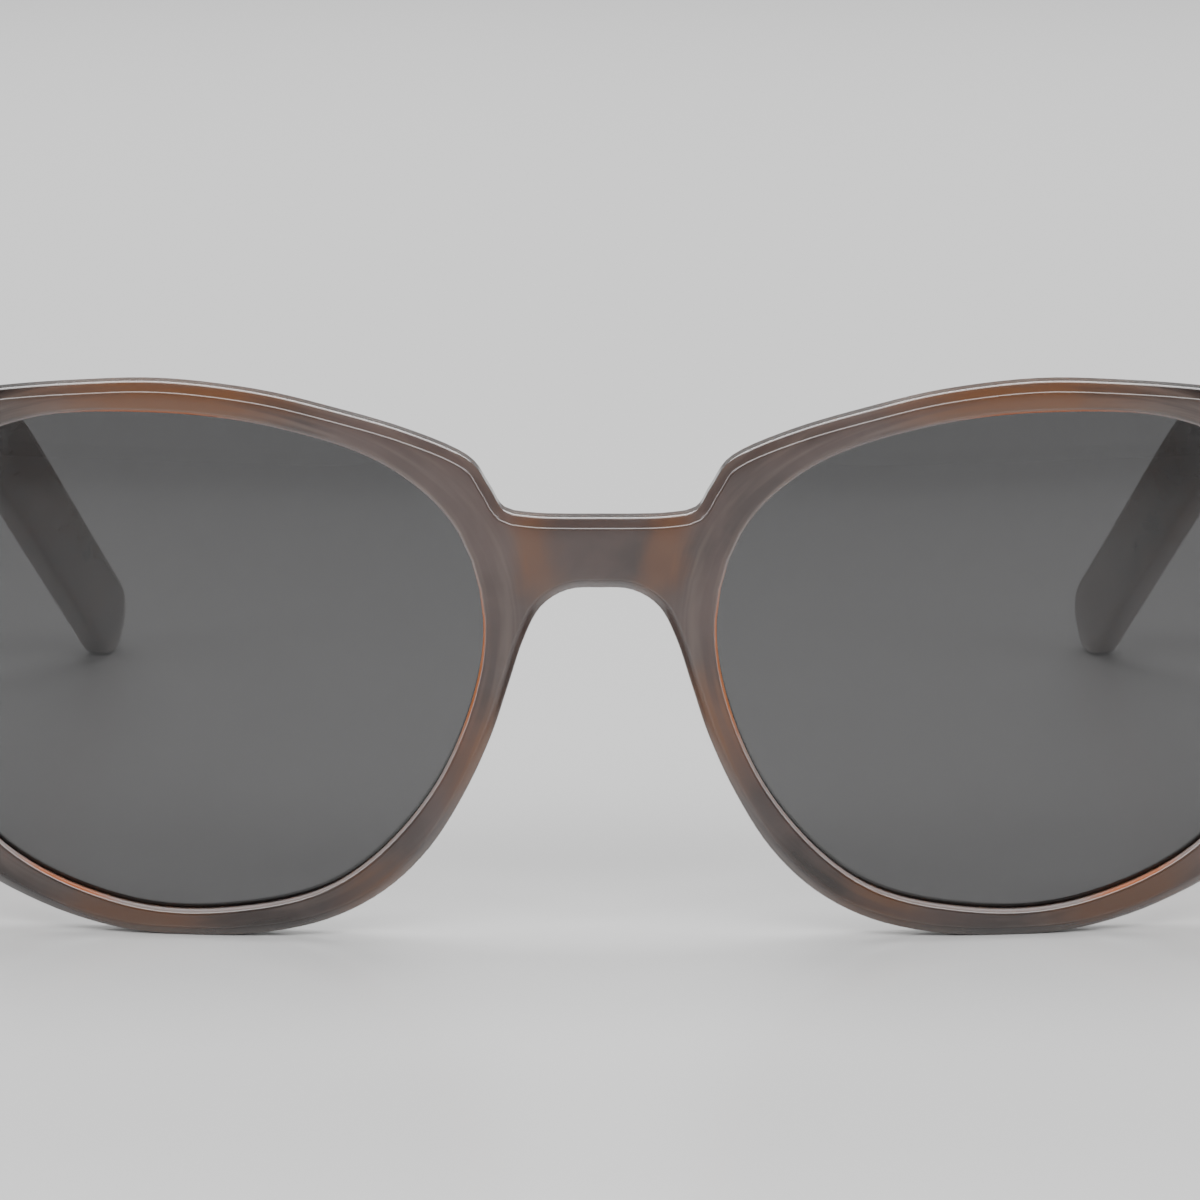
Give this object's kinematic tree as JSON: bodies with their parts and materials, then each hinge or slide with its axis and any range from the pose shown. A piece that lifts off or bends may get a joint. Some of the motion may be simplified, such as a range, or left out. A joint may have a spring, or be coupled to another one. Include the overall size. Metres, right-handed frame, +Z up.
{
  "type": "smart glasses",
  "caption": "Eyeglass frame with polished rims, smoke lenses and two folding temples that hold a cell, a board, a speaker and a microphone.",
  "frame": {"origin": "centre of the standing glasses' footprint, on the surface that the rims and temple tips rest on", "axes": "+X towards the wearer's left, +Y back along the temples, +Z up"},
  "size_m": [0.139, 0.1352, 0.0484],
  "materials": {
    "acetate": "polished translucent mottled grey-mauve and brown acetate",
    "acetate_pads": "polished translucent acetate, a little clearer than the rims",
    "acetate_temples": "polished mottled acetate",
    "cover_plastic": "satin moulded plastic in the colour of the acetate",
    "lens": "light neutral smoke, coated",
    "hinge_steel": "satin stainless steel",
    "screw_steel": "bright stainless steel",
    "core_steel": "nickel silver core wire",
    "cell_foil": "foil pouch",
    "board": "green solder mask with shield cans",
    "speaker_body": "black moulded speaker box",
    "mesh_steel": "black woven steel mesh",
    "gold": "gold plate",
    "flex_film": "amber polyimide film",
    "magnet_nickel": "nickel plate",
    "light_pipe": "clear diffusing plastic",
    "control_plastic": "satin dark plastic",
    "switch_black": "black plastic",
    "switch_steel": "stamped steel dome switch"
  },
  "bodies": {
    "front": {"front_frame": "acetate", "lens_left": "lens", "lens_right": "lens", "nose_pad_left": "acetate_pads", "nose_pad_right": "acetate_pads", "front_hinge_left": "hinge_steel", "front_hinge_right": "hinge_steel", "hinge_screw_left": "screw_steel", "hinge_screw_right": "screw_steel"},
    "temple_left": {"temple_housing_left": "acetate_temples", "temple_cover_left": "cover_plastic", "temple_hinge_left": "hinge_steel", "core_wire_left": "core_steel", "battery_left": "cell_foil", "circuit_board_left": "board", "speaker_left": "speaker_body", "speaker_mesh_left": "mesh_steel", "microphone_left": "gold", "antenna_left": "flex_film", "touch_sensor_left": "flex_film", "charging_contacts_left": "gold", "charging_magnet_left": "magnet_nickel", "status_light_left": "light_pipe", "ribbon_cable_left": "flex_film", "cover_screws_left": "screw_steel", "power_switch": "switch_black"},
    "temple_right": {"temple_housing_right": "acetate_temples", "temple_cover_right": "cover_plastic", "temple_hinge_right": "hinge_steel", "core_wire_right": "core_steel", "battery_right": "cell_foil", "circuit_board_right": "board", "speaker_right": "speaker_body", "speaker_mesh_right": "mesh_steel", "microphone_right": "gold", "antenna_right": "flex_film", "touch_sensor_right": "flex_film", "charging_contacts_right": "gold", "charging_magnet_right": "magnet_nickel", "status_light_right": "light_pipe", "ribbon_cable_right": "flex_film", "cover_screws_right": "screw_steel", "button_switch": "switch_steel"},
    "power_slider": {"power_slider": "control_plastic"},
    "action_button": {"action_button": "control_plastic"}
  },
  "joints": [
    {"name": "temple_left_fold", "type": "hinge", "parent": "front", "child": "temple_left", "pos_m": [0.0623, -0.05387, 0.038], "axis": [0, 0, 1], "range_deg": [0, 82]},
    {"name": "temple_right_fold", "type": "hinge", "parent": "front", "child": "temple_right", "pos_m": [-0.0623, -0.05387, 0.038], "axis": [0, 0, -1], "range_deg": [0, 73]},
    {"name": "power_slide", "type": "slide", "parent": "temple_left", "child": "power_slider", "axis": [0, 0.9954, -0.0958], "range_m": [0, 0.002]},
    {"name": "action_press", "type": "slide", "parent": "temple_right", "child": "action_button", "axis": [0, -0.0958, -0.9954], "range_m": [0, 0.00035], "stiffness_N_per_m": 3000}
  ]
}
